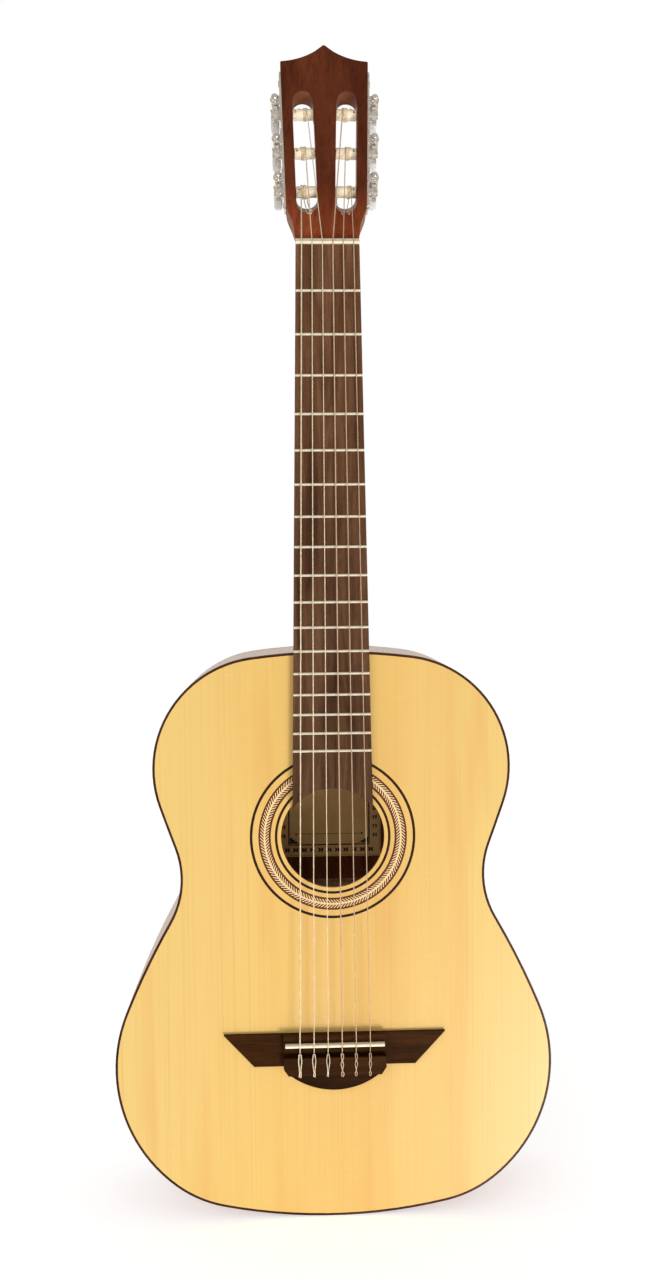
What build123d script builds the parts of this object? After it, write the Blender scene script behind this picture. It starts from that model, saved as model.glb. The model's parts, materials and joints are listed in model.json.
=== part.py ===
"""Classical guitar: a hollow body, a neck with a slotted head, and six worm-geared tuning machines.

Frame: millimetres, +Z up along the neck, +X to the treble side, the soundboard faces -Y.
The origin is on the centreline, at the nut's front edge, in the plane of the soundboard's face.
"""
from math import asin, atan2, cos, hypot, pi, radians, sin, sqrt, tan
import os

from build123d import *

# Scale and fingerboard
SCALE_LENGTH = 650.0
FRET_COUNT = 17
NUT_HALF_WIDTH = 25.5
HALF_WIDTH_GROWTH = 7.5 / 456.0
BOARD_THICKNESS = 6.5
BOARD_END_RADIUS = 41.1
FRET_WIDTH = 2.2
FRET_HEIGHT = 1.1
TANG_WIDTH = 0.6
TANG_DEPTH = 2.0
NUT_THICKNESS = 5.0
NUT_TOP = -8.4
NUT_BACK_EDGE = -4.6
NECK_DEPTH_AT_NUT = 17.5
NECK_SIDE_HEIGHT = 3.0
HEEL_SIDE_FALL = 14.0

# Body
BODY_TOP = -325.5
BODY_BOTTOM = -800.2
BODY_ARCS = (
    (501.6, 7.65),
    (92.8, 101.23),
    (1821.0, 1.15),
    (73.5, -49.98),
    (628.0, 7.67),
    (126.6, 74.19),
    (98.8, 25.84),
)
DEPTH_AT_NECK = 96.0
DEPTH_AT_TAIL = 101.0
BACK_ARCH_RADIUS = 2760.0
SOUNDBOARD_THICKNESS = 2.6
BACK_THICKNESS = 2.8
RIB_THICKNESS = 2.0
BINDING_DEPTH = 5.0
LINING_WIDTH = 6.0
LINING_DEPTH = 14.0
HOLE_CENTRE = -478.7
HOLE_RADIUS = 42.7
ROSETTE_RINGS = ((45.7, 47.8), (51.2, 61.3), (66.2, 68.4))
ROSETTE_DEPTH = 1.0
NECK_BLOCK_SIZE = (76.0, 28.0)
TAIL_BLOCK_SIZE = (70.0, 15.0)
THROUGH_BODY = 120.0
BEHIND_MIDDLE = 70.0

# Bridge
SADDLE_Z = -650.5
SADDLE_HALF_LENGTH = 41.0
SADDLE_THICKNESS = 2.6
SADDLE_TOP = -11.85
BRIDGE_TOP_EDGE = -643.0
WING_TIP = 92.0
WING_CORNER = (67.0, -670.0)
CENTRE_HALF_WIDTH = 42.5
WING_HEIGHT = 3.0
BRIDGE_FRONT_HEIGHT = 7.4
TIE_BLOCK_HEIGHT = 9.3
CHANNEL = (-657.0, -661.0)
CHANNEL_FLOOR = 4.0
TIE_BLOCK_BACK = -676.0
APRON_BOTTOM = -690.5
APRON_HEIGHT = 4.0
TIE_HOLE_HEIGHT = 5.6
TIE_HOLE_RADIUS = 0.9

# Head
HEAD_TILT = 13.0
HEAD_THICKNESS = 18.5
SHOULDER_START = 14.0
SHOULDER_HALF_WIDTH = 27.3
CREST_ROUNDING = 2.0
CORNER_ROUNDING = 1.2
VENEER_THICKNESS = 2.0
SIDE_TAPER = 1.6
SIDE_AT_MIDDLE = 34.2
SLOT_AT_MIDDLE = 17.0
SLOT_RADIUS = 8.6
SLOT_TOP_CENTRE = 126.0
SLOT_BOTTOM_CENTRE = 47.4
RAMP_TOP_CENTRE = 32.6
ROLLER_HEIGHTS = (47.1, 81.8, 117.1)

# Tuning machines
AXIS_DEPTH = 8.6
BARREL_RADIUS = 4.5
BARREL_LENGTH = 16.4
SHAFT_RADIUS = 3.0
RUNNING_CLEARANCE = 0.06
PLATE_THICKNESS = 1.2
PLATE_HALF_WIDTH = 7.6
PLATE_LOW = 30.0
PLATE_HIGH = 154.0
SCREW_HEIGHTS = (35.5, 67.5, 102.5, 146.0)
SCREW_RADIUS = 1.1
SCREW_LENGTH = 6.4
GEAR_TEETH = 14
CENTRE_DISTANCE = 9.2
WORM_OUT = 5.8
WORM_PITCH = 2.92
WORM_TURNS = 3.5
WORM_CORE_RADIUS = 1.9
WORM_TIP_RADIUS = 3.45
GEAR_ROOT_RADIUS = 5.5
GEAR_TIP_RADIUS = 7.1
GEAR_WIDTH = 3.6
GEAR_SCREW_RADIUS = 1.2
EAR_INNER = 6.1
EAR_RADIUS = 3.7
WORM_JOURNAL_RADIUS = 2.0
BALL_RADIUS = 2.9
BALL_NECK_RADIUS = 1.9
BUTTON_NEAR = 15.5
BUTTON_LENGTH = 18.0
BUTTON_THICKNESS = 7.2

# Strings, first (thinnest treble) to sixth
STRING_DIAMETERS = (0.72, 0.82, 1.02, 0.76, 0.90, 1.10)
NUT_SPACING = 8.3
SADDLE_SPACING = 11.6
STRING_AT_NUT = -8.3
STRING_AT_SADDLE = -12.5
WINDING_TURNS = 3
WRAP_GAP = 0.15

HEAD = Plane(
    origin=(0, 0, NUT_THICKNESS),
    x_dir=(1, 0, 0),
    z_dir=(0, -cos(radians(HEAD_TILT)), sin(radians(HEAD_TILT))),
)


def finish(builder, name):
    """Label a finished piece and write its STEP file."""
    builder.part.label = name
    export_step(builder.part, f"parts/{name}.step")


def at_depth(y):
    """The plane parallel to the soundboard at depth y; it faces the player's audience."""
    return Plane.XZ.offset(-y)


def board_half_width(distance):
    """Half the fingerboard's width at a distance from the nut."""
    return NUT_HALF_WIDTH + HALF_WIDTH_GROWTH * distance


def fret_distance(number):
    """Distance of a fret from the nut in twelve-tone equal temperament."""
    return SCALE_LENGTH * (1 - 2 ** (-number / 12))


# ---------------------------------------------------------------- body outline and back


def outline_arcs(inset):
    """Treble-side arcs of the body outline: centre, radius, start angle and sweep in degrees."""
    x, z, heading = 0.0, BODY_TOP - inset, 0.0
    arcs = []
    for radius, turn in BODY_ARCS:
        sign = 1 if turn > 0 else -1
        r = radius - sign * inset
        cx = x - sign * r * sin(heading)
        cz = z - sign * r * cos(heading)
        start = 90 - heading * 180 / pi if sign > 0 else 270 - heading * 180 / pi
        arcs.append(((cx, cz), r, start, -turn))
        heading += radians(turn)
        x = cx + sign * r * sin(heading)
        z = cz + sign * r * cos(heading)
    rest = pi - heading
    tail_radius = x / sin(rest)
    arcs.append(((0, z + tail_radius * cos(rest)), tail_radius, rest * 180 / pi - 90, -rest * 180 / pi))
    return arcs


def outline(inset, depth):
    """The body outline, set in from its edge, as a sketch at a depth."""
    with BuildSketch(at_depth(depth)) as face:
        with BuildLine() as edge:
            for centre, radius, start, sweep_angle in outline_arcs(inset):
                CenterArc(centre, radius, start, sweep_angle)
            mirror(edge.line, about=Plane.YZ)
        make_face()
    return face.sketch


def front_of_back(skin):
    """Cross-section of the space in front of the arched back, a skin thickness inside it."""
    fall = Vector(0, DEPTH_AT_TAIL - DEPTH_AT_NECK, BODY_BOTTOM - BODY_TOP).normalized()
    origin = Vector(0, DEPTH_AT_NECK, BODY_TOP) - fall * 60
    reach, ceiling = 200, 140
    rise = reach**2 / (2 * BACK_ARCH_RADIUS)
    with BuildSketch(Plane(origin=origin, x_dir=(1, 0, 0), z_dir=fall)) as space:
        with BuildLine():
            Polyline((-reach, skin + rise), (-reach, ceiling), (reach, ceiling), (reach, skin + rise))
            ThreePointArc((reach, skin + rise), (0, skin), (-reach, skin + rise))
        make_face()
    return space.sketch


def back_space(skin, mode):
    """Keep, or cut, what lies in front of the arched back surface."""
    extrude(front_of_back(skin), amount=620, mode=mode)


# ---------------------------------------------------------------- body


def make_soundboard():
    with BuildPart() as soundboard:
        extrude(outline(RIB_THICKNESS, 0), amount=-SOUNDBOARD_THICKNESS)
        with BuildSketch(at_depth(0)):
            with Locations((0, HOLE_CENTRE)):
                Circle(HOLE_RADIUS)
        extrude(amount=-SOUNDBOARD_THICKNESS, mode=Mode.SUBTRACT)
        with BuildSketch(at_depth(0)):
            with Locations((0, HOLE_CENTRE)):
                for inner, outer in reversed(ROSETTE_RINGS):
                    Circle(outer)
                    Circle(inner, mode=Mode.SUBTRACT)
        extrude(amount=-ROSETTE_DEPTH, mode=Mode.SUBTRACT)
    finish(soundboard, "soundboard")


def make_rosette():
    with BuildPart() as rosette:
        with BuildSketch(at_depth(0)):
            with Locations((0, HOLE_CENTRE)):
                for inner, outer in reversed(ROSETTE_RINGS):
                    Circle(outer)
                    Circle(inner, mode=Mode.SUBTRACT)
        extrude(amount=-ROSETTE_DEPTH)
    finish(rosette, "rosette")


def make_back_plate():
    with BuildPart() as back_plate:
        extrude(outline(RIB_THICKNESS, BEHIND_MIDDLE), amount=-THROUGH_BODY / 2)
        back_space(0, Mode.INTERSECT)
        back_space(BACK_THICKNESS, Mode.SUBTRACT)
    finish(back_plate, "back_plate")


def make_ribs():
    for name, side in (("rib_bass", Keep.BOTTOM), ("rib_treble", Keep.TOP)):
        with BuildPart() as rib:
            extrude(outline(0, BINDING_DEPTH), amount=-THROUGH_BODY)
            extrude(outline(RIB_THICKNESS, BINDING_DEPTH), amount=-THROUGH_BODY, mode=Mode.SUBTRACT)
            back_space(BINDING_DEPTH, Mode.INTERSECT)
            split(bisect_by=Plane.YZ, keep=side)
        finish(rib, name)


def make_bindings():
    with BuildPart() as top_binding:
        extrude(outline(0, 0), amount=-BINDING_DEPTH)
        extrude(outline(RIB_THICKNESS, 0), amount=-BINDING_DEPTH, mode=Mode.SUBTRACT)
    finish(top_binding, "top_binding")

    with BuildPart() as back_binding:
        extrude(outline(0, BEHIND_MIDDLE), amount=-THROUGH_BODY / 2)
        extrude(outline(RIB_THICKNESS, BEHIND_MIDDLE), amount=-THROUGH_BODY / 2, mode=Mode.SUBTRACT)
        back_space(0, Mode.INTERSECT)
        back_space(BINDING_DEPTH, Mode.SUBTRACT)
    finish(back_binding, "back_binding")


def cut_block_seats():
    """Clear the neck and tail blocks' places out of a ring of lining."""
    for (width, height), top in ((NECK_BLOCK_SIZE, BODY_TOP), (TAIL_BLOCK_SIZE, BODY_BOTTOM + 22)):
        with BuildSketch(at_depth(0)) as seat:
            with Locations((0, top + 15 - (height + 25) / 2)):
                Rectangle(width, height + 25)
        extrude(seat.sketch, amount=-THROUGH_BODY, mode=Mode.SUBTRACT)


def make_linings():
    inner = RIB_THICKNESS + LINING_WIDTH
    with BuildPart() as linings:
        extrude(outline(RIB_THICKNESS, SOUNDBOARD_THICKNESS), amount=-THROUGH_BODY)
        extrude(outline(inner, SOUNDBOARD_THICKNESS), amount=-THROUGH_BODY, mode=Mode.SUBTRACT)
        back_space(BACK_THICKNESS, Mode.INTERSECT)
        with BuildPart(mode=Mode.PRIVATE) as between:
            extrude(outline(0, SOUNDBOARD_THICKNESS + LINING_DEPTH), amount=-THROUGH_BODY)
            back_space(BACK_THICKNESS + LINING_DEPTH, Mode.INTERSECT)
        add(between.part, mode=Mode.SUBTRACT)
        cut_block_seats()
    finish(linings, "linings")


def make_blocks():
    width, height = NECK_BLOCK_SIZE
    with BuildPart() as neck_block:
        with BuildSketch(at_depth(SOUNDBOARD_THICKNESS)):
            with Locations((0, BODY_TOP - height / 2)):
                Rectangle(width, height)
        extrude(amount=-THROUGH_BODY)
        extrude(outline(RIB_THICKNESS, SOUNDBOARD_THICKNESS), amount=-THROUGH_BODY, mode=Mode.INTERSECT)
        back_space(BACK_THICKNESS, Mode.INTERSECT)
    finish(neck_block, "neck_block")

    width, height = TAIL_BLOCK_SIZE
    with BuildPart() as tail_block:
        with BuildSketch(at_depth(SOUNDBOARD_THICKNESS)):
            with Locations((0, BODY_BOTTOM + height / 2)):
                Rectangle(width, height)
        extrude(amount=-THROUGH_BODY)
        extrude(outline(RIB_THICKNESS, SOUNDBOARD_THICKNESS), amount=-THROUGH_BODY, mode=Mode.INTERSECT)
        back_space(BACK_THICKNESS, Mode.INTERSECT)
    finish(tail_block, "tail_block")


def make_soundboard_braces():
    """Two transverse bars, a bridge patch and seven fan struts under the soundboard."""
    bars = ((-421.0, 6.0, 14.0), (-536.0, 6.0, 14.0))
    patch = (150.0, 24.0, 2.0)
    fan_pivot = (0.0, -250.0)
    strut_width, strut_height = 4.5, 5.0
    with BuildPart() as braces:
        for centre, width, height in bars:
            with BuildSketch(at_depth(SOUNDBOARD_THICKNESS)):
                with Locations((0, centre)):
                    Rectangle(400, width)
            extrude(amount=-height)
        with BuildSketch(at_depth(SOUNDBOARD_THICKNESS)):
            with Locations((0, -656)):
                Rectangle(patch[0], patch[1])
        extrude(amount=-patch[2])
        for index in range(-3, 4):
            with BuildSketch(at_depth(SOUNDBOARD_THICKNESS)):
                with Locations(Location(fan_pivot, index * 4.6)):
                    with Locations((0, -403)):
                        Rectangle(strut_width, 220)
            extrude(amount=-strut_height)
        clear = RIB_THICKNESS + LINING_WIDTH + 0.5
        extrude(outline(clear, 0), amount=-40, mode=Mode.INTERSECT)
    finish(braces, "soundboard_braces")


def make_back_braces():
    """Three cross braces inside the arched back."""
    braces_at = (-400.0, -543.0, -680.0)
    with BuildPart() as braces:
        for centre in braces_at:
            with BuildSketch(at_depth(BEHIND_MIDDLE)):
                with Locations((0, centre)):
                    Rectangle(400, 7)
            extrude(amount=-THROUGH_BODY / 2)
        back_space(BACK_THICKNESS, Mode.INTERSECT)
        back_space(BACK_THICKNESS + 15, Mode.SUBTRACT)
        clear = RIB_THICKNESS + LINING_WIDTH + 0.5
        extrude(outline(clear, 0), amount=-THROUGH_BODY, mode=Mode.INTERSECT)
    finish(braces, "back_braces")


# ---------------------------------------------------------------- neck and fingerboard


def neck_section(plane, half_width, depth):
    """A D-shaped section: flat in front, straight for a little at the sides, round behind."""
    side = NECK_SIDE_HEIGHT
    with BuildSketch(plane) as section:
        with BuildLine():
            Polyline((-half_width, -side), (-half_width, 0), (half_width, 0), (half_width, -side))
            Spline(
                (half_width, -side),
                (0, -depth),
                (-half_width, -side),
                tangents=[(0, -1), (0, 1)],
            )
        make_face()
    return section.sketch


def level_plane(z):
    """A plane across the neck at height z, with its y axis to the front."""
    return Plane(origin=(0, 0, z), x_dir=(1, 0, 0), z_dir=(0, 0, -1))


def heel_arch(depth, top, half_width):
    """A cross-section of the heel parallel to the soundboard: an arch that runs on into the body."""
    springing, bottom = top - HEEL_SIDE_FALL, BODY_TOP - 6.5
    with BuildSketch(at_depth(depth)) as arch:
        with BuildLine():
            Polyline(
                (-half_width, springing),
                (-half_width, bottom),
                (half_width, bottom),
                (half_width, springing),
            )
            Spline(
                (half_width, springing),
                (0, top),
                (-half_width, springing),
                tangents=[(0, 1), (0, -1)],
            )
        make_face()
    return arch.sketch


def make_neck():
    head_end = Plane(origin=HEAD.origin, x_dir=(1, 0, 0), z_dir=-HEAD.y_dir)
    heel_sections = (
        (12.0, -262.0, 28.5),
        (26.0, -284.0, 21.0),
        (50.0, -298.0, 14.5),
        (DEPTH_AT_NECK - BACK_THICKNESS, -305.0, 11.5),
    )
    with BuildPart() as neck:
        loft(
            [
                neck_section(head_end, NUT_HALF_WIDTH, NECK_DEPTH_AT_NUT),
                neck_section(level_plane(-28), board_half_width(28), 15.2),
                neck_section(level_plane(-150), board_half_width(150), 16.2),
                neck_section(level_plane(BODY_TOP - 5), board_half_width(330), 18.0),
            ]
        )
        loft([heel_arch(*section) for section in heel_sections])
        extrude(outline(0, -1), amount=-THROUGH_BODY, mode=Mode.SUBTRACT)
    finish(neck, "neck")

    with BuildPart() as heel_cap:
        extrude(heel_arch(*heel_sections[-1]), amount=-BACK_THICKNESS)
        extrude(outline(0, -1), amount=-THROUGH_BODY, mode=Mode.SUBTRACT)
    finish(heel_cap, "heel_cap")


def make_fingerboard():
    low = 456.0
    with BuildPart() as fingerboard:
        with BuildSketch(at_depth(0)):
            with BuildLine():
                Polyline(
                    (-NUT_HALF_WIDTH, 0),
                    (NUT_HALF_WIDTH, 0),
                    (board_half_width(low), -low),
                    (-board_half_width(low), -low),
                    close=True,
                )
            make_face()
            with Locations((0, HOLE_CENTRE)):
                Circle(BOARD_END_RADIUS, mode=Mode.SUBTRACT)
        extrude(amount=BOARD_THICKNESS)
        for number in range(1, FRET_COUNT + 1):
            with BuildSketch(at_depth(-BOARD_THICKNESS)):
                with Locations((0, -fret_distance(number))):
                    Rectangle(100, TANG_WIDTH)
            extrude(amount=-TANG_DEPTH, mode=Mode.SUBTRACT)
    finish(fingerboard, "fingerboard")


def make_frets():
    """Seventeen frets, each a rounded crown on a tang."""
    with BuildPart() as frets:
        for number in range(1, FRET_COUNT + 1):
            distance = fret_distance(number)
            half = board_half_width(distance) - 0.2
            end = (-half, -BOARD_THICKNESS, -distance)
            with BuildSketch(Plane(origin=end, x_dir=(0, 1, 0), z_dir=(1, 0, 0))):
                with BuildLine():
                    Polyline(
                        (0, -FRET_WIDTH / 2),
                        (0, -TANG_WIDTH / 2),
                        (TANG_DEPTH, -TANG_WIDTH / 2),
                        (TANG_DEPTH, TANG_WIDTH / 2),
                        (0, TANG_WIDTH / 2),
                        (0, FRET_WIDTH / 2),
                    )
                    ThreePointArc((0, FRET_WIDTH / 2), (-FRET_HEIGHT, 0), (0, -FRET_WIDTH / 2))
                make_face()
            extrude(amount=2 * half)
    finish(frets, "frets")


def string_offset(number, spacing):
    """How far a string lies from the centreline; strings 1 to 3 are the treble ones."""
    return spacing * abs(3.5 - number)


def make_nut():
    with BuildPart() as nut:
        with BuildSketch(Plane.YZ.offset(-NUT_HALF_WIDTH)):
            with BuildLine():
                Polyline(
                    (0, 0),
                    (NUT_TOP, 0),
                    (NUT_TOP, 1.6),
                    (NUT_BACK_EDGE, NUT_THICKNESS),
                    (0, NUT_THICKNESS),
                    close=True,
                )
            make_face()
        extrude(amount=2 * NUT_HALF_WIDTH)
        for number in range(1, 7):
            side = 1 if number <= 3 else -1
            radius = STRING_DIAMETERS[number - 1] / 2 + 0.05
            with BuildSketch(Plane.XY.offset(-1)):
                with Locations((side * string_offset(number, NUT_SPACING), STRING_AT_NUT - 1)):
                    Rectangle(2 * radius, 2)
                with Locations((side * string_offset(number, NUT_SPACING), STRING_AT_NUT)):
                    Circle(radius)
            extrude(amount=8, mode=Mode.SUBTRACT)
    finish(nut, "nut")


# ---------------------------------------------------------------- bridge


def make_bridge():
    with BuildPart() as bridge:
        with BuildSketch(at_depth(0)):
            with BuildLine():
                Polyline(
                    (-WING_TIP, BRIDGE_TOP_EDGE),
                    (WING_TIP, BRIDGE_TOP_EDGE),
                    WING_CORNER,
                    (-WING_CORNER[0], WING_CORNER[1]),
                    close=True,
                )
            make_face()
        extrude(amount=WING_HEIGHT)
        with BuildSketch(at_depth(0)):
            with BuildLine():
                Polyline(
                    (38, -677),
                    (CENTRE_HALF_WIDTH, WING_CORNER[1]),
                    (CENTRE_HALF_WIDTH, BRIDGE_TOP_EDGE),
                    (-CENTRE_HALF_WIDTH, BRIDGE_TOP_EDGE),
                    (-CENTRE_HALF_WIDTH, WING_CORNER[1]),
                    (-38, -677),
                )
                ThreePointArc((-38, -677), (0, APRON_BOTTOM), (38, -677))
            make_face()
        extrude(amount=APRON_HEIGHT)
        with BuildSketch(at_depth(-APRON_HEIGHT)):
            with Locations((0, (BRIDGE_TOP_EDGE + CHANNEL[0]) / 2)):
                Rectangle(2 * CENTRE_HALF_WIDTH, BRIDGE_TOP_EDGE - CHANNEL[0])
        extrude(amount=BRIDGE_FRONT_HEIGHT - APRON_HEIGHT)
        with BuildSketch(at_depth(-APRON_HEIGHT)):
            with BuildLine():
                Polyline(
                    (-CENTRE_HALF_WIDTH, CHANNEL[1]),
                    (CENTRE_HALF_WIDTH, CHANNEL[1]),
                    (CENTRE_HALF_WIDTH, WING_CORNER[1]),
                    (38.5, TIE_BLOCK_BACK),
                    (-38.5, TIE_BLOCK_BACK),
                    (-CENTRE_HALF_WIDTH, WING_CORNER[1]),
                    close=True,
                )
            make_face()
        extrude(amount=TIE_BLOCK_HEIGHT - APRON_HEIGHT)
        with BuildSketch(at_depth(-CHANNEL_FLOOR)):
            with Locations((0, SADDLE_Z)):
                Rectangle(2 * SADDLE_HALF_LENGTH, SADDLE_THICKNESS)
        extrude(amount=10, mode=Mode.SUBTRACT)
        with BuildSketch(Plane.XY.offset(CHANNEL[0] - 1)):
            for number in range(1, 7):
                side = 1 if number <= 3 else -1
                with Locations((side * string_offset(number, SADDLE_SPACING), -TIE_HOLE_HEIGHT)):
                    Circle(TIE_HOLE_RADIUS)
        extrude(amount=TIE_BLOCK_BACK - CHANNEL[0] - 2, mode=Mode.SUBTRACT)
    finish(bridge, "bridge")

    with BuildPart() as saddle:
        with BuildSketch(Plane.YZ.offset(-SADDLE_HALF_LENGTH)):
            with BuildLine():
                half = SADDLE_THICKNESS / 2
                Polyline(
                    (SADDLE_TOP + half, SADDLE_Z - half),
                    (-CHANNEL_FLOOR, SADDLE_Z - half),
                    (-CHANNEL_FLOOR, SADDLE_Z + half),
                    (SADDLE_TOP + half, SADDLE_Z + half),
                )
                ThreePointArc(
                    (SADDLE_TOP + half, SADDLE_Z + half),
                    (SADDLE_TOP, SADDLE_Z),
                    (SADDLE_TOP + half, SADDLE_Z - half),
                )
            make_face()
        extrude(amount=2 * SADDLE_HALF_LENGTH)
    finish(saddle, "saddle")


# ---------------------------------------------------------------- head


def side_at(height):
    """Half-width of the head's straight side at a height along the head."""
    return SIDE_AT_MIDDLE + (height - ROLLER_HEIGHTS[1]) * tan(radians(SIDE_TAPER))


def slot_at(height):
    """Distance of a slot's centreline from the middle of the head."""
    return SLOT_AT_MIDDLE + (height - ROLLER_HEIGHTS[1]) * tan(radians(SIDE_TAPER))


def head_outline(depth):
    """The head's outline, with its hollowed and pointed crest, at a depth below its face."""
    low, shoulder, corner, crest = SHOULDER_START, 35.0, 161.0, 176.7
    with BuildSketch(HEAD.offset(-depth)) as face:
        with BuildLine() as edge:
            Line((0, low), (SHOULDER_HALF_WIDTH, low))
            Spline(
                (SHOULDER_HALF_WIDTH, low),
                (29.1, 19.5),
                (31.5, 26.0),
                (side_at(shoulder), shoulder),
                tangents=[(0.15, 1), (0.03, 1)],
            )
            Line((side_at(shoulder), shoulder), (side_at(corner), corner))
            ThreePointArc((side_at(corner), corner), (17.6, 165.2), (7.5, 170.5))
            Line((7.5, 170.5), (0, crest))
            mirror(edge.line, about=Plane.YZ)
        make_face()
        fillet(face.vertices().group_by(Axis.Y)[-1], CREST_ROUNDING)
        fillet(face.vertices().group_by(Axis.X)[0] + face.vertices().group_by(Axis.X)[-1], CORNER_ROUNDING)
    return face.sketch


def slot_sketch(bottom, top, side):
    """One long round-ended slot in the head's face."""
    middle = (bottom + top) / 2
    with BuildSketch(HEAD) as slot:
        with Locations(Location((side * slot_at(middle), middle), 90 - side * SIDE_TAPER)):
            SlotCenterToCenter(top - bottom, 2 * SLOT_RADIUS)
    return slot.sketch


def cut_slots():
    """Both slots, straight through above and ramped towards the nut below."""
    slope = (SLOT_BOTTOM_CENTRE - RAMP_TOP_CENTRE) / HEAD_THICKNESS
    slanted = HEAD.y_dir * slope - HEAD.z_dir
    for side in (1, -1):
        straight = slot_sketch(SLOT_BOTTOM_CENTRE, SLOT_TOP_CENTRE, side)
        extrude(straight, amount=-HEAD_THICKNESS - 1, mode=Mode.SUBTRACT)
        ramped = slot_sketch(RAMP_TOP_CENTRE, 100, side)
        extrude(ramped, amount=slanted.length * HEAD_THICKNESS, dir=slanted, mode=Mode.SUBTRACT)


def machine_frame(height):
    """Frame of a treble-side machine: x out along the roller, y up the head's side, z forwards."""
    outward = HEAD.x_dir * cos(radians(SIDE_TAPER)) - HEAD.y_dir * sin(radians(SIDE_TAPER))
    origin = HEAD.from_local_coords((side_at(height), height, -AXIS_DEPTH))
    return Plane(origin=origin, x_dir=outward, z_dir=HEAD.z_dir)


def across(frame, distance, up=0.0, forward=0.0):
    """A plane across a machine's roller axis, a distance outside the head's side."""
    origin = frame.from_local_coords((distance, up, forward))
    return Plane(origin=origin, x_dir=frame.y_dir, z_dir=frame.x_dir)


def worm_plane(frame, forward):
    """A plane across a machine's worm axis."""
    origin = frame.from_local_coords((WORM_OUT, CENTRE_DISTANCE, forward))
    return Plane(origin=origin, x_dir=frame.x_dir, z_dir=frame.z_dir)


def cut_round(plane, radius, length):
    """Bore a round hole from a plane, along its normal."""
    with BuildSketch(plane) as disc:
        Circle(radius)
    extrude(disc.sketch, amount=length, mode=Mode.SUBTRACT)


def barrel_middle(height):
    """Where a roller's barrel is centred, outside the head's side (so below zero)."""
    return (slot_at(height) - side_at(height)) / cos(radians(SIDE_TAPER))


def make_headstock():
    start = Plane(origin=HEAD.origin, x_dir=(1, 0, 0), z_dir=-HEAD.y_dir)
    with BuildPart() as headstock:
        extrude(head_outline(VENEER_THICKNESS), amount=-(HEAD_THICKNESS - VENEER_THICKNESS))
        root = neck_section(start, NUT_HALF_WIDTH, NECK_DEPTH_AT_NUT)
        half, edge_depth = SHOULDER_HALF_WIDTH, 0.6 - HEAD_THICKNESS
        with BuildSketch(start.offset(-SHOULDER_START)) as shoulder:
            with BuildLine():
                Polyline((-half, edge_depth), (-half, 0), (half, 0), (half, edge_depth))
                Spline((half, edge_depth), (0, -HEAD_THICKNESS), (-half, edge_depth))
            make_face()
        loft([root, shoulder.sketch])
        with BuildSketch(HEAD) as veneer_space:
            with Locations((0, 50)):
                Rectangle(120, 140)
        extrude(veneer_space.sketch, amount=-VENEER_THICKNESS, mode=Mode.SUBTRACT)
        cut_slots()
        for height in ROLLER_HEIGHTS:
            frame = machine_frame(height)
            inner = barrel_middle(height) - SLOT_RADIUS
            cut_round(across(frame, inner - 6.3), SHAFT_RADIUS + RUNNING_CLEARANCE, 40)
        for height in SCREW_HEIGHTS:
            cut_round(across(machine_frame(height), -SCREW_LENGTH - 0.1), SCREW_RADIUS, 8)
        split(bisect_by=Plane.YZ, keep=Keep.TOP)
        mirror(about=Plane.YZ)
    finish(headstock, "headstock")

    with BuildPart() as veneer:
        extrude(head_outline(0), amount=-VENEER_THICKNESS)
        with BuildSketch(HEAD):
            with BuildLine():
                Polyline(
                    (-NUT_HALF_WIDTH, 0),
                    (NUT_HALF_WIDTH, 0),
                    (SHOULDER_HALF_WIDTH, SHOULDER_START),
                    (-SHOULDER_HALF_WIDTH, SHOULDER_START),
                    close=True,
                )
            make_face()
        extrude(amount=-VENEER_THICKNESS)
        cut_slots()
    finish(veneer, "head_veneer")


# ---------------------------------------------------------------- tuning machines

MACHINES = {1: (1, 0), 2: (1, 1), 3: (1, 2), 4: (-1, 2), 5: (-1, 1), 6: (-1, 0)}


def mirror_to_bass(side):
    """Move a treble-side piece across to the bass side."""
    if side < 0:
        mirror(about=Plane.YZ, mode=Mode.REPLACE)


def make_plates():
    """Each plate with its folded ears, and the screws that hold the two plates."""
    base = machine_frame(0)
    for name, side in (("tuner_plate_treble", 1), ("tuner_plate_bass", -1)):
        with BuildPart() as plate:
            with BuildSketch(across(base, 0)):
                with Locations(((PLATE_LOW + PLATE_HIGH) / 2, 0)):
                    RectangleRounded(PLATE_HIGH - PLATE_LOW, 2 * PLATE_HALF_WIDTH, 4.0)
            extrude(amount=PLATE_THICKNESS)
            for height in ROLLER_HEIGHTS:
                frame = machine_frame(height)
                for forward in (EAR_INNER, -PLATE_HALF_WIDTH):
                    with BuildSketch(worm_plane(frame, forward)):
                        with Locations((-WORM_OUT / 2, 0)):
                            Rectangle(WORM_OUT, 2 * EAR_RADIUS)
                        Circle(EAR_RADIUS)
                        Circle(WORM_JOURNAL_RADIUS + RUNNING_CLEARANCE, mode=Mode.SUBTRACT)
                    extrude(amount=PLATE_HALF_WIDTH - EAR_INNER)
                cut_round(across(frame, -1), SHAFT_RADIUS + 0.3, 3)
            for height in SCREW_HEIGHTS:
                cut_round(across(machine_frame(height), -1), 1.3, 3)
            mirror_to_bass(side)
        finish(plate, name)

    with BuildPart() as screws:
        for height in SCREW_HEIGHTS:
            frame = machine_frame(height)
            with BuildSketch(across(frame, -SCREW_LENGTH)):
                Circle(SCREW_RADIUS)
            extrude(amount=SCREW_LENGTH + PLATE_THICKNESS)
            with BuildSketch(across(frame, PLATE_THICKNESS)):
                Circle(2.4)
            extrude(amount=1.0)
            with BuildSketch(across(frame, PLATE_THICKNESS + 0.5)):
                Rectangle(6, 0.6)
            extrude(amount=1, mode=Mode.SUBTRACT)
        mirror(about=Plane.YZ)
    finish(screws, "plate_screws")


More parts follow.
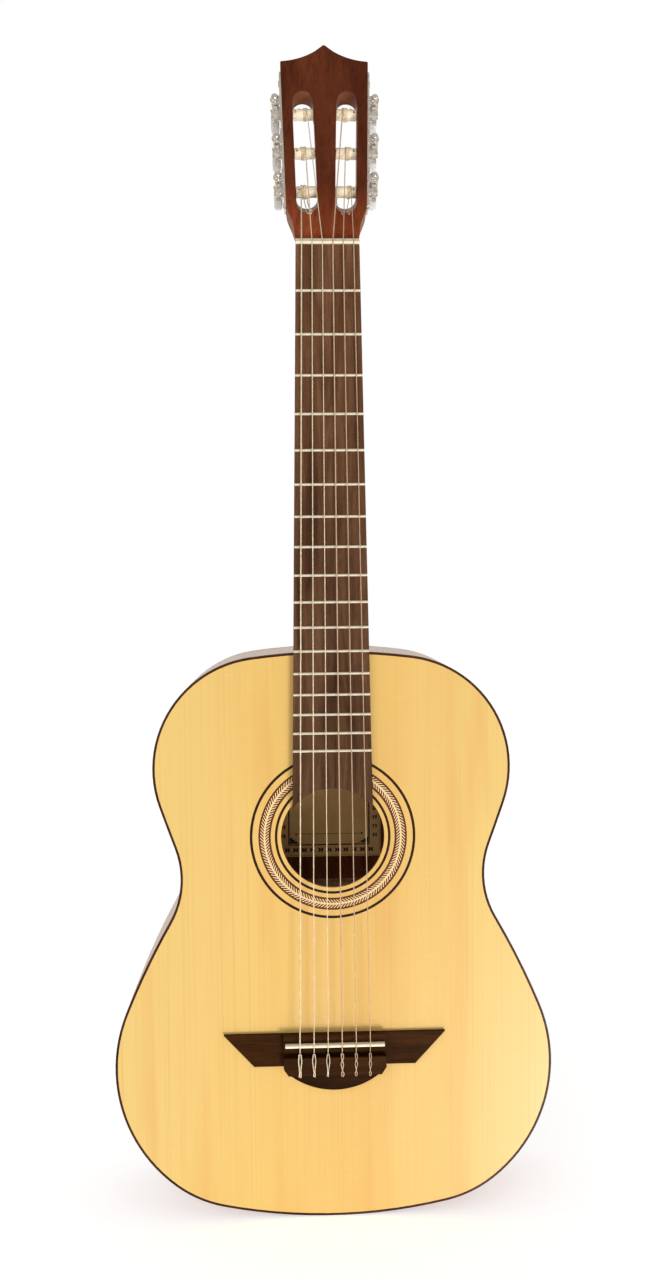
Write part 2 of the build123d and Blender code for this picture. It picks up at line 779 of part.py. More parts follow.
def make_roller(number, side, frame, middle):
    """A shaft with a fat barrel in the slot; it ends inside the head's middle and in its gear."""
    inner_end = middle - SLOT_RADIUS - 6.0
    outer_end = WORM_OUT + GEAR_WIDTH / 2
    string_hole = Plane(origin=across(frame, middle).origin, x_dir=frame.x_dir, z_dir=frame.z_dir)
    with BuildPart() as roller:
        with BuildSketch(across(frame, inner_end)):
            Circle(SHAFT_RADIUS)
        extrude(amount=outer_end - inner_end)
        with BuildSketch(across(frame, middle - BARREL_LENGTH / 2)):
            Circle(BARREL_RADIUS)
        extrude(amount=BARREL_LENGTH)
        cut_round(across(frame, outer_end - 6.0), GEAR_SCREW_RADIUS, 10)
        with BuildSketch(string_hole) as hole:
            with Locations((6.2, 0)):
                Circle(0.9)
        extrude(hole.sketch, amount=10, both=True, mode=Mode.SUBTRACT)
        mirror_to_bass(side)
    finish(roller, f"string_roller_{number}")


def make_gear(number, side, frame):
    near, far = WORM_OUT - GEAR_WIDTH / 2, WORM_OUT + GEAR_WIDTH / 2
    with BuildPart() as gear:
        with BuildSketch(across(frame, near)):
            Circle(GEAR_ROOT_RADIUS)
            with PolarLocations(0, GEAR_TEETH, start_angle=180 / GEAR_TEETH):
                Polygon(
                    (GEAR_ROOT_RADIUS - 0.5, -0.85),
                    (GEAR_TIP_RADIUS, -0.30),
                    (GEAR_TIP_RADIUS, 0.30),
                    (GEAR_ROOT_RADIUS - 0.5, 0.85),
                    align=None,
                )
        extrude(amount=GEAR_WIDTH)
        with BuildSketch(across(frame, PLATE_THICKNESS + 0.4)):
            Circle(4.3)
        extrude(amount=near - PLATE_THICKNESS - 0.4)
        cut_round(across(frame, 0), SHAFT_RADIUS, 12)
        with BuildSketch(across(frame, far - 5.5)):
            Circle(GEAR_SCREW_RADIUS)
        extrude(amount=5.5)
        with BuildSketch(across(frame, far)):
            Circle(2.7)
        extrude(amount=1.4)
        with BuildSketch(across(frame, far + 0.7)):
            Rectangle(7, 0.7)
        extrude(amount=1, mode=Mode.SUBTRACT)
        mirror_to_bass(side)
    finish(gear, f"gear_{number}")


def thread_path(base):
    """The helix of a worm's thread, centred on the gear and facing it there."""
    start_height = -WORM_TURNS / 2 * WORM_PITCH
    with BuildLine() as helix:
        Helix(WORM_PITCH, WORM_TURNS * WORM_PITCH, WORM_CORE_RADIUS, center=(0, 0, start_height))
    return base.location * helix.line


def make_worm_shaft(number, side, frame):
    base = worm_plane(frame, 0)
    path = thread_path(base)
    with BuildPart() as worm:
        with BuildSketch(worm_plane(frame, -BUTTON_NEAR - 8)):
            Circle(WORM_JOURNAL_RADIUS)
        extrude(amount=BUTTON_NEAR + 8 - EAR_INNER + 0.1)
        with BuildSketch(worm_plane(frame, -EAR_INNER)):
            Circle(WORM_CORE_RADIUS)
        extrude(amount=2 * EAR_INNER)
        with BuildSketch(worm_plane(frame, EAR_INNER - 0.1)):
            Circle(WORM_JOURNAL_RADIUS)
        extrude(amount=PLATE_HALF_WIDTH - EAR_INNER + 1)
        with BuildSketch(worm_plane(frame, -PLATE_HALF_WIDTH - 2.5)):
            Circle(3.0)
        extrude(amount=2.3)
        ball = base.from_local_coords((0, 0, PLATE_HALF_WIDTH + BALL_RADIUS))
        neck = -sqrt(BALL_RADIUS**2 - BALL_NECK_RADIUS**2)
        with BuildSketch(Plane(origin=ball, x_dir=base.x_dir, z_dir=base.y_dir)):
            with BuildLine():
                Line((0, neck), (0, BALL_RADIUS))
                Line((0, neck), (BALL_NECK_RADIUS, neck))
                ThreePointArc((BALL_NECK_RADIUS, neck), (BALL_RADIUS, 0), (0, BALL_RADIUS))
            make_face()
        revolve(axis=Axis(ball, base.z_dir))
        profile_plane = Plane(origin=path @ 0, x_dir=base.x_dir, z_dir=path % 0)
        with BuildSketch(profile_plane):
            with BuildLine():
                reach = WORM_TIP_RADIUS - WORM_CORE_RADIUS
                Polyline((-0.4, -0.75), (reach, -0.26), (reach, 0.26), (-0.4, 0.75), close=True)
            make_face()
        sweep(path=path, is_frenet=True)
        mirror_to_bass(side)
    finish(worm, f"worm_shaft_{number}")


def make_button(number, side, frame):
    with BuildPart() as button:
        centre = frame.from_local_coords((WORM_OUT, CENTRE_DISTANCE, -BUTTON_NEAR - BUTTON_LENGTH / 2))
        broad = Plane(origin=centre, x_dir=frame.y_dir, z_dir=frame.x_dir)
        with BuildSketch(broad.offset(-BUTTON_THICKNESS / 2)):
            Ellipse(8.2, BUTTON_LENGTH / 2)
        extrude(amount=BUTTON_THICKNESS)
        fillet(button.edges().filter_by(GeomType.ELLIPSE), 2.6)
        cut_round(worm_plane(frame, -BUTTON_NEAR - 8), WORM_JOURNAL_RADIUS, 12)
        mirror_to_bass(side)
    finish(button, f"button_{number}")


# Where the string meets its barrel, from the barrel's middle, and which way its turns lie
WINDING_SIDES = ((4.2, -1), (-0.6, 1), (-3.2, 1))


def make_winding(number, side, frame, lateral, way):
    radius = STRING_DIAMETERS[number - 1] / 2
    with BuildPart() as winding:
        for turn in range(1, WINDING_TURNS + 1):
            offset = lateral + way * turn * (2 * radius + 0.12)
            ring = Plane(origin=across(frame, offset).origin, x_dir=frame.y_dir, z_dir=frame.z_dir)
            with BuildSketch(ring):
                with Locations((BARREL_RADIUS + radius + 0.02, 0)):
                    Circle(radius)
            revolve(axis=Axis(ring.origin, frame.x_dir))
        mirror_to_bass(side)
    finish(winding, f"string_winding_{number}")


def make_string(number, side, frame, lateral):
    """A string from round its roller, over nut and saddle, through the bridge and over the tie block."""
    radius = STRING_DIAMETERS[number - 1] / 2
    wrap = BARREL_RADIUS + WRAP_GAP + radius
    nut_point = Vector(string_offset(number, NUT_SPACING), STRING_AT_NUT, 1.8)
    local = frame.to_local_coords(nut_point)
    reach = hypot(local.Y, local.Z)
    rise = atan2(local.Z, -local.Y) - asin(wrap / reach)
    corner = wrap * (1 - sin(rise)) / cos(rise)
    x = string_offset(number, SADDLE_SPACING)
    tie_top = -TIE_BLOCK_HEIGHT - radius - 0.05
    points = [
        frame.from_local_coords((lateral, -0.5, -wrap)),
        frame.from_local_coords((lateral, wrap, -wrap)),
        frame.from_local_coords((lateral, wrap, corner)),
        nut_point,
        Vector(x, STRING_AT_SADDLE, SADDLE_Z - 0.6),
        Vector(x, -TIE_HOLE_HEIGHT, CHANNEL[1] + 0.5),
        Vector(x, -TIE_HOLE_HEIGHT, TIE_BLOCK_BACK - 1.4),
        Vector(x, tie_top, TIE_BLOCK_BACK - 1.4),
        Vector(x, tie_top, CHANNEL[1] + 0.6),
    ]
    with BuildPart() as string:
        with BuildLine() as route:
            FilletPolyline(*points, radius=[wrap * 0.97, wrap * 0.97, 4.0, 1.6, 1.6, 1.3, 1.3])
        path = route.line
        with BuildSketch(Plane(origin=path @ 0, z_dir=path % 0)):
            Circle(radius)
        sweep(path=path)
        mirror_to_bass(side)
    finish(string, f"string_{number}")


def make_machines():
    for number, (side, place) in MACHINES.items():
        height = ROLLER_HEIGHTS[place]
        frame = machine_frame(height)
        middle = barrel_middle(height)
        shift, way = WINDING_SIDES[place]
        lateral = middle + shift
        make_roller(number, side, frame, middle)
        make_gear(number, side, frame)
        make_worm_shaft(number, side, frame)
        make_button(number, side, frame)
        make_winding(number, side, frame, lateral, way)
        make_string(number, side, frame, lateral)


os.makedirs("parts", exist_ok=True)
make_soundboard()
make_rosette()
make_back_plate()
make_ribs()
make_bindings()
make_linings()
make_blocks()
make_soundboard_braces()
make_back_braces()
make_neck()
make_fingerboard()
make_frets()
make_nut()
make_bridge()
make_headstock()
make_plates()
make_machines()
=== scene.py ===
"""Looks for the classical guitar: materials, strings and knots, label, rounded edges, light and camera."""

import json
import math
import random

import bmesh
import bpy
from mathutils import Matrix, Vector


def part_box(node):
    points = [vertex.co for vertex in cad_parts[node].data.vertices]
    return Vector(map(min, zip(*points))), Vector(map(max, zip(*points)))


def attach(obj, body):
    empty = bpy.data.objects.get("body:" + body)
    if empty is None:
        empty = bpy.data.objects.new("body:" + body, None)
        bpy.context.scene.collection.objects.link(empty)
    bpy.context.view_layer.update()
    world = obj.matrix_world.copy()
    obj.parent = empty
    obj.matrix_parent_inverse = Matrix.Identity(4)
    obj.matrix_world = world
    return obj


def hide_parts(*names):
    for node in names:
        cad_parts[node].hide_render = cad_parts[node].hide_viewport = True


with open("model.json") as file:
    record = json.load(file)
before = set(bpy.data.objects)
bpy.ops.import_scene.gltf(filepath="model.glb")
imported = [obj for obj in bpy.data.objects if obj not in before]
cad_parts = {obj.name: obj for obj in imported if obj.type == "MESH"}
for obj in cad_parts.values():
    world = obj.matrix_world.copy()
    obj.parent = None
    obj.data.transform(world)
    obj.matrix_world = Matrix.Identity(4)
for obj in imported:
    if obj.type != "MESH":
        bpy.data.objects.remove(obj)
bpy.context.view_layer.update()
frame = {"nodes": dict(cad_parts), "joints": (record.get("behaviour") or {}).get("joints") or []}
random.seed(7)

MM = 0.001
NODES = frame["nodes"]
JOINTS = {joint["name"]: joint for joint in frame["joints"]}

# ---------------------------------------------------------------- places, in the frame's coordinates

HOLE_CENTRE = Vector((0, 0, -478.7)) * MM
SADDLE_Z = -650.5 * MM
CHANNEL_BACK = -661.0 * MM
TIE_BLOCK_BACK = -676.0 * MM
TIE_TOP = -9.3 * MM
TIE_HOLE_Y = -5.6 * MM
NUT_POINT_Y = -8.3 * MM
SADDLE_POINT_Y = -12.5 * MM
NUT_SPACING = 8.3 * MM
SADDLE_SPACING = 11.6 * MM
BARREL_RADIUS = 4.5 * MM
WRAP_GAP = 0.15 * MM
BARREL_MIDDLE = -17.2 * MM
STRING_DIAMETERS = [d * MM for d in (0.72, 0.82, 1.02, 0.76, 0.90, 1.10)]
WRAP_SHIFT = {1: 4.2, 2: -0.6, 3: -3.2, 4: -3.2, 5: -0.6, 6: 4.2}
STRINGS = (1, 2, 3, 4, 5, 6)
LAST_NYLON = 3

# The ornament of a tuner plate, in millimetres from its lowest roller.
ORNAMENT_LIFT = 1.25
BEAD_LOW = -15.6
BEAD_HIGH = 105.4
BEAD_HALF_WIDTH = 6.7
BEAD_ROUNDING = 3.2
SCROLLS = ((-4.5, 1), (27.5, 1), (62.0, 1), (82.0, -1), (93.5, 1))

# The label on the inside of the back, in millimetres.
LABEL_LOW = -519.0
LABEL_HIGH = -431.0
LABEL_HALF_WIDTH = 47.0
INK_LIFT = 0.30

LACQUER_TINT = (1.0, 0.84, 0.68, 1)
WARM_WHITE = (1.0, 0.90, 0.79, 1)
CAMERA_PLACE = (-0.0322, -0.8933, -0.2706)
CAMERA_TURN = (87.072, 0.529, -2.120)
CAMERA_LENS = 30.79


# ---------------------------------------------------------------- material building blocks


class Shader:
    """A principled material and the few node helpers that the materials share."""

    def __init__(self, name, metallic=0.0, roughness=0.4, coat=0.0, coat_roughness=0.08, specular=0.5):
        self.material = bpy.data.materials.new(name)
        self.material.use_nodes = True
        self.tree = self.material.node_tree
        self.bsdf = self.tree.nodes["Principled BSDF"]
        self.bsdf.inputs["Metallic"].default_value = metallic
        self.bsdf.inputs["Roughness"].default_value = roughness
        self.bsdf.inputs["Coat Weight"].default_value = coat
        self.bsdf.inputs["Coat Roughness"].default_value = coat_roughness
        self.bsdf.inputs["Specular IOR Level"].default_value = specular
        self.coordinates = self.tree.nodes.new("ShaderNodeTexCoord").outputs["Object"]

    def put(self, socket, value):
        if isinstance(value, bpy.types.NodeSocket):
            self.tree.links.new(value, socket)
        else:
            socket.default_value = value

    def stretched(self, scale):
        node = self.tree.nodes.new("ShaderNodeMapping")
        self.put(node.inputs["Vector"], self.coordinates)
        node.inputs["Scale"].default_value = scale
        return node.outputs["Vector"]

    def noise(self, vector, scale, detail=4.0, roughness=0.55, distortion=0.0):
        node = self.tree.nodes.new("ShaderNodeTexNoise")
        self.put(node.inputs["Vector"], vector)
        node.inputs["Scale"].default_value = scale
        node.inputs["Detail"].default_value = detail
        node.inputs["Roughness"].default_value = roughness
        node.inputs["Distortion"].default_value = distortion
        return node.outputs["Fac"]

    def ramp(self, factor, *stops):
        node = self.tree.nodes.new("ShaderNodeValToRGB")
        self.put(node.inputs["Fac"], factor)
        elements = node.color_ramp.elements
        while len(elements) < len(stops):
            elements.new(0.5)
        for element, (place, colour) in zip(elements, stops):
            element.position = place
            element.color = (*colour, 1)
        return node.outputs["Color"]

    def level(self, factor, low, high, out_low=0.0, out_high=1.0):
        node = self.tree.nodes.new("ShaderNodeMapRange")
        self.put(node.inputs["Value"], factor)
        node.inputs["From Min"].default_value = low
        node.inputs["From Max"].default_value = high
        node.inputs["To Min"].default_value = out_low
        node.inputs["To Max"].default_value = out_high
        return node.outputs["Result"]

    def mix(self, factor, first, second, blend="MIX"):
        node = self.tree.nodes.new("ShaderNodeMix")
        node.data_type = "RGBA"
        node.blend_type = blend
        self.put(node.inputs["Factor"], factor)
        for socket, value in ((node.inputs["A"], first), (node.inputs["B"], second)):
            colour = value if isinstance(value, bpy.types.NodeSocket) else (*value, 1)
            self.put(self.colour_socket(node, socket), colour)
        return [out for out in node.outputs if out.type == "RGBA"][0]

    @staticmethod
    def colour_socket(node, socket):
        return [s for s in node.inputs if s.name == socket.name and s.type == "RGBA"][0]

    def maths(self, operation, first, second=0.0):
        node = self.tree.nodes.new("ShaderNodeMath")
        node.operation = operation
        self.put(node.inputs[0], first)
        self.put(node.inputs[1], second)
        return node.outputs["Value"]

    def plus_share(self, first, second, share):
        """The first value and a share of the second."""
        return self.maths("ADD", first, self.maths("MULTIPLY", second, share))

    def axis(self, index):
        node = self.tree.nodes.new("ShaderNodeSeparateXYZ")
        self.put(node.inputs["Vector"], self.coordinates)
        return node.outputs[index]

    def bump(self, height, distance):
        node = self.tree.nodes.new("ShaderNodeBump")
        node.inputs["Strength"].default_value = 1.0
        node.inputs["Distance"].default_value = distance
        self.put(node.inputs["Height"], height)
        return node.outputs["Normal"]

    def finish(self, colour, roughness, normal):
        self.put(self.bsdf.inputs["Base Color"], colour)
        self.put(self.bsdf.inputs["Roughness"], roughness)
        self.put(self.bsdf.inputs["Normal"], normal)
        return self.material


def along(axis, ratio):
    """A coordinate scale that draws a texture out along one axis, or two."""
    return tuple(1 / ratio if letter in axis else 1.0 for letter in "XYZ")


# ---------------------------------------------------------------- woods


def spruce():
    """Bookmatched spruce top: fine vertical grain, broad bands, and silk across the grain."""
    s = Shader("spruce_top", roughness=0.34, coat=0.25, coat_roughness=0.15, specular=0.35)
    lines = s.noise(s.stretched((1, 1, 0.004)), 620, 2.5, 0.6)
    bands = s.noise(s.stretched((1, 1, 0.10)), 26, 3, 0.5)
    broad = s.noise(s.stretched((1, 1, 0.25)), 7, 2, 0.5)
    silk = s.noise(s.stretched((0.10, 1, 1)), 420, 3, 0.6)
    colour = s.ramp(
        bands,
        (0.30, (0.685, 0.400, 0.110)),
        (0.50, (0.715, 0.440, 0.125)),
        (0.72, (0.745, 0.490, 0.155)),
    )
    colour = s.mix(s.level(broad, 0.35, 0.70), colour, (0.735, 0.465, 0.125))
    # Painted light: the top is drawn paler towards its left and right edges, which leaves painted shade
    # around its middle.
    painted_edge_light = s.plus_share(s.maths("ABSOLUTE", s.axis("X")), broad, 0.05)
    colour = s.mix(s.level(painted_edge_light, 0.06, 0.19, 0.0, 0.75), colour, (0.745, 0.530, 0.175))
    grain = s.level(lines, 0.52, 0.70)
    colour = s.mix(s.maths("MULTIPLY", grain, 0.26), colour, (0.56, 0.290, 0.065))
    flecks = s.level(silk, 0.56, 0.74)
    colour = s.mix(s.maths("MULTIPLY", flecks, 0.20), colour, (0.80, 0.590, 0.230))
    red = s.level(s.noise(s.stretched((1, 1, 0.10)), 34, 2.5), 0.52, 0.72)
    colour = s.mix(s.maths("MULTIPLY", red, 0.42), colour, (0.67, 0.330, 0.085))
    ridges = s.plus_share(lines, silk, 0.4)
    return s.finish(colour, s.level(bands, 0.3, 0.7, 0.27, 0.36), s.bump(ridges, 0.00004))


def hardwood(
    name, colours, axis, rough, figure, specular=0.5, coat=0.0, contrast=1.0, shade_below=None, brightness_fade=None
):
    """A hardwood with streaks and open pores drawn out along an axis.

    It may carry painted shade below a height, and its brightness may be scaled by a factor that fades from
    one height and strength to another.
    """
    dark, middle, light = colours
    s = Shader(name, roughness=rough, coat=coat, coat_roughness=0.10, specular=specular)
    s.bsdf.inputs["Specular Tint"].default_value = LACQUER_TINT
    figure_fac = s.noise(s.stretched(along(axis, 9)), figure, 5, 0.6, 0.6)
    streaks = s.noise(s.stretched(along(axis, 40)), figure * 9, 3, 0.6)
    pores = s.noise(s.stretched(along(axis, 28)), 2600, 1.5, 0.5)
    colour = s.ramp(figure_fac, (0.32, dark), (0.50, middle), (0.70, light))
    streak_mask = s.maths("MULTIPLY", s.level(streaks, 0.50, 0.68), 0.42 * contrast)
    colour = s.mix(streak_mask, colour, tuple(0.45 * c for c in dark))
    pore_mask = s.level(pores, 0.60, 0.68)
    colour = s.mix(s.maths("MULTIPLY", pore_mask, 0.5), colour, tuple(0.3 * c for c in dark))
    # Painted shade: the colour darkens below a height. On the bridge this shades the apron below the tie
    # block.
    if shade_below is not None:
        wear_and_painted_shade = s.level(s.axis("Z"), shade_below, shade_below + 1.5 * MM, 0.55, 0.0)
        colour = s.mix(wear_and_painted_shade, colour, tuple(0.35 * c for c in dark))
    # The colour is scaled by a factor that fades with height. On the head this is painted sheen.
    if brightness_fade is not None:
        (low, low_strength), (high, high_strength) = brightness_fade
        strength = s.level(s.axis("Z"), low, high, low_strength, high_strength)
        colour = s.mix(1.0, colour, strength, "MULTIPLY")
    height = s.maths("SUBTRACT", s.maths("MULTIPLY", streaks, 0.35), s.maths("MULTIPLY", pore_mask, 0.8))
    gloss = s.level(figure_fac, 0.3, 0.7, rough * 0.85, rough * 1.15)
    return s.finish(colour, gloss, s.bump(height, 0.00006))


def rosette_wood():
    """Black rings, and between them a herringbone band of slanted splints."""
    splints = 140
    band_inner, band_outer = 51.2 * MM, 61.3 * MM
    spine = 56.3 * MM
    s = Shader("rosette_inlay", roughness=0.36, coat=0.1, coat_roughness=0.2, specular=0.15)
    x = s.axis("X")
    z = s.maths("SUBTRACT", s.axis("Z"), HOLE_CENTRE.z)
    radius = s.maths("SQRT", s.maths("ADD", s.maths("MULTIPLY", x, x), s.maths("MULTIPLY", z, z)))
    turn = s.maths("MULTIPLY", s.maths("ARCTAN2", z, x), splints / (2 * math.pi))
    off_spine = s.maths("ABSOLUTE", s.maths("SUBTRACT", radius, spine))
    slant = s.maths("MULTIPLY", off_spine, 1 / (2.6 * MM))
    phase = s.maths("FRACT", s.maths("ADD", turn, s.maths("ADD", slant, 200.0)))
    wobble = s.noise(s.coordinates, 900, 2)
    edge = s.plus_share(s.maths("ABSOLUTE", s.maths("SUBTRACT", phase, 0.5)), wobble, 0.05)
    pale = s.level(edge, 0.250, 0.205)
    inside = s.maths("LESS_THAN", off_spine, 3.5 * MM)
    spine_line = s.maths("LESS_THAN", off_spine, 0.70 * MM)
    pale = s.maths("MAXIMUM", s.maths("MULTIPLY", pale, inside), spine_line)
    wood = s.noise(s.coordinates, 2200, 3)
    brown = s.ramp(wood, (0.3, (0.080, 0.018, 0.004)), (0.7, (0.140, 0.036, 0.008)))
    cream = s.ramp(wood, (0.3, (0.80, 0.53, 0.24)), (0.7, (0.90, 0.68, 0.38)))
    herringbone = s.mix(pale, brown, cream)
    past_inner = s.maths("GREATER_THAN", radius, band_inner)
    in_band = s.maths("MULTIPLY", past_inner, s.maths("LESS_THAN", radius, band_outer))
    black = s.ramp(wood, (0.3, (0.018, 0.005, 0.002)), (0.7, (0.038, 0.012, 0.005)))
    colour = s.mix(in_band, black, herringbone)
    return s.finish(colour, s.level(wood, 0.3, 0.7, 0.28, 0.36), s.bump(pale, 0.00003))


# ---------------------------------------------------------------- metals and plastics


def plated(name, base, rough, dull, metallic):
    """Plated or drawn metal with light wear and tarnish."""
    s = Shader(name, metallic=metallic, roughness=rough)
    tarnish = s.noise(s.coordinates, 420, 5, 0.65)
    scratches = s.noise(s.stretched((1, 0.05, 1)), 2600, 2, 0.5)
    colour = s.mix(s.level(tarnish, 0.52, 0.74, 0.0, 0.6), base, dull)
    wear = s.plus_share(tarnish, scratches, 0.4)
    roughness = s.level(wear, 0.4, 1.0, rough * 0.7, rough * 1.9)
    return s.finish(colour, roughness, s.bump(scratches, 0.00001))


def moulded(name, light, dark, rough, coat=0.0, scale=260, subsurface=0.0):
    """Moulded plastic, bone or ivory imitation, with faint clouding and rub marks."""
    s = Shader(name, roughness=rough, coat=coat)
    clouds = s.noise(s.coordinates, scale, 4, 0.6)
    rub = s.noise(s.stretched((0.2, 1, 1)), 3200, 2, 0.6)
    colour = s.ramp(clouds, (0.32, dark), (0.68, light))
    s.bsdf.inputs["Subsurface Weight"].default_value = subsurface
    s.bsdf.inputs["Subsurface Scale"].default_value = 0.002
    wear = s.plus_share(clouds, rub, 0.5)
    roughness = s.level(wear, 0.4, 1.1, rough * 0.8, rough * 1.3)
    return s.finish(colour, roughness, s.bump(rub, 0.000015))


def pearl():
    """Imitation mother-of-pearl: folded milky layers under a clear gloss."""
    s = Shader("pearl_button", roughness=0.22, coat=0.6, coat_roughness=0.05)
    folds = s.noise(s.stretched((1, 1, 0.35)), 160, 4, 0.6, 2.2)
    colour = s.ramp(
        folds,
        (0.30, (0.50, 0.48, 0.45)),
        (0.46, (0.76, 0.75, 0.71)),
        (0.56, (0.62, 0.60, 0.57)),
        (0.70, (0.88, 0.87, 0.84)),
    )
    s.bsdf.inputs["Subsurface Weight"].default_value = 0.15
    s.bsdf.inputs["Subsurface Scale"].default_value = 0.002
    return s.finish(colour, s.level(folds, 0.3, 0.7, 0.16, 0.30), s.bump(folds, 0.00002))


def wound():
    """Silvered copper wire wound round a core: close ridges along the string."""
    s = Shader("wound_string", metallic=0.55, roughness=0.34)
    ridges = s.tree.nodes.new("ShaderNodeTexWave")
    ridges.wave_type = "BANDS"
    ridges.bands_direction = "Z"
    ridges.inputs["Scale"].default_value = 1000
    s.put(ridges.inputs["Vector"], s.coordinates)
    wear_and_painted_shade = s.noise(s.coordinates, 300, 3)
    colour = s.mix(s.level(wear_and_painted_shade, 0.4, 0.7), (0.86, 0.70, 0.46), (0.95, 0.86, 0.68))
    return s.finish(colour, s.level(wear_and_painted_shade, 0.3, 0.7, 0.28, 0.42), s.bump(ridges.outputs["Fac"], 0.00004))


def nylon():
    """Clear drawn nylon, slightly amber."""
    s = Shader("nylon_string", roughness=0.24)
    cloud = s.noise(s.stretched((1, 1, 0.1)), 900, 2)
    colour = s.mix(s.level(cloud, 0.3, 0.7), (0.66, 0.44, 0.27), (0.78, 0.58, 0.40))
    s.bsdf.inputs["Transmission Weight"].default_value = 0.35
    return s.finish(colour, s.level(cloud, 0.3, 0.7, 0.18, 0.30), s.bump(cloud, 0.00001))


def paper():
    """Aged label paper, with fibres."""
    s = Shader("label_paper", roughness=0.85)
    fibres = s.noise(s.coordinates, 2400, 5, 0.7)
    age = s.noise(s.coordinates, 45, 3, 0.5)
    colour = s.mix(s.level(age, 0.35, 0.75), (1.0, 0.62, 0.24), (0.95, 0.50, 0.17))
    colour = s.mix(s.level(fibres, 0.6, 0.8, 0, 0.25), colour, (0.5, 0.36, 0.2))
    return s.finish(colour, s.level(fibres, 0.3, 0.7, 0.75, 0.95), s.bump(fibres, 0.00003))


def ink():
    """Printing ink that has sunk unevenly into the paper."""
    s = Shader("label_ink", roughness=0.6)
    spread = s.noise(s.coordinates, 3000, 4, 0.6)
    colour = s.ramp(spread, (0.35, (0.02, 0.014, 0.012)), (0.7, (0.07, 0.045, 0.035)))
    return s.finish(colour, s.level(spread, 0.3, 0.7, 0.5, 0.75), s.bump(spread, 0.00001))


def studio_floor():
    """Pale matt floor with a slight glow, so that it runs into the white behind it."""
    s = Shader("floor", roughness=0.75)
    grit = s.noise(s.coordinates, 60, 4, 0.6)
    colour = s.ramp(grit, (0.3, (0.93, 0.93, 0.925)), (0.7, (0.96, 0.96, 0.955)))
    s.bsdf.inputs["Emission Color"].default_value = (1, 1, 1, 1)
    s.bsdf.inputs["Emission Strength"].default_value = 0.52
    return s.finish(colour, s.level(grit, 0.3, 0.7, 0.7, 0.85), s.bump(grit, 0.0002))


MAHOGANY = ((0.125, 0.031, 0.011), (0.200, 0.054, 0.018), (0.290, 0.086, 0.030))
HEAD_WOOD = ((0.075, 0.0130, 0.0040), (0.112, 0.0220, 0.0065), (0.165, 0.0360, 0.0110))
ROSEWOOD = ((0.062, 0.024, 0.0105), (0.112, 0.048, 0.0215), (0.180, 0.084, 0.0400))
BRIDGE_WOOD = ((0.023, 0.0070, 0.0012), (0.038, 0.0115, 0.0018), (0.060, 0.0200, 0.0040))
DARK_STRIP = ((0.034, 0.010, 0.005), (0.052, 0.016, 0.008), (0.075, 0.025, 0.012))
RAW_SPRUCE = ((0.42, 0.23, 0.10), (0.55, 0.33, 0.15), (0.66, 0.43, 0.22))

# A brightness factor fades between two heights, each given with its strength.
# Painted sheen: the head is drawn brighter near the nut and darker further up.
HEAD_PAINTED_SHEEN = ((14 * MM, 2.25), (56 * MM, 0.82))
# The fingerboard is drawn darker towards the body and brighter towards the nut.
BOARD_GRADIENT = ((-330 * MM, 0.78), (-20 * MM, 1.25))
# Painted shade on the bridge's apron, below the back of the tie block.
BRIDGE_SHADE_LINE = TIE_BLOCK_BACK - 0.5 * MM

M = {
    "spruce": spruce(),
    "rosette": rosette_wood(),
    "rib": hardwood("mahogany_ribs", MAHOGANY, "XZ", 0.26, 45, coat=0.35),
    "back": hardwood("mahogany_back", MAHOGANY, "Z", 0.26, 38, coat=0.2),
    "neck": hardwood("mahogany_neck", MAHOGANY, "Z", 0.36, 55, 0.12),
    "head": hardwood("mahogany_head", HEAD_WOOD, "Z", 0.34, 48, 0.16, brightness_fade=HEAD_PAINTED_SHEEN),
    "board": hardwood("fingerboard_rosewood", ROSEWOOD, "Z", 0.46, 90, 0.15, brightness_fade=BOARD_GRADIENT),
    "bridge": hardwood("bridge_rosewood", BRIDGE_WOOD, "X", 0.44, 110, 0.06, shade_below=BRIDGE_SHADE_LINE),
    "binding": hardwood("dark_binding", DARK_STRIP, "XZ", 0.34, 200, 0.15),
    "inner": hardwood("inner_wood", RAW_SPRUCE, "X", 0.6, 40, 0.4, contrast=0.4),
    "fret": plated("fret_wire", (0.80, 0.72, 0.56), 0.38, (0.58, 0.47, 0.34), 0.45),
    "metal": plated("plated_metal", (0.93, 0.90, 0.86), 0.17, (0.20, 0.12, 0.08), 0.9),
    "ivory": moulded("ivory_plastic", (0.93, 0.85, 0.64), (0.88, 0.76, 0.52), 0.42, 0.1, subsurface=0.1),
    "roller": moulded("roller_plastic", (1.0, 0.88, 0.68), (0.98, 0.83, 0.60), 0.45, subsurface=0.1),
    "turns": moulded("nylon_turns", (0.94, 0.77, 0.55), (0.84, 0.64, 0.42), 0.35, 0.1, 900),
    "wound_turns": moulded("wound_turns", (0.95, 0.80, 0.57), (0.72, 0.52, 0.32), 0.35, 0.1, 900),
    "pearl": pearl(),
    "wound": wound(),
    "nylon": nylon(),
    "paper": paper(),
    "ink": ink(),
}

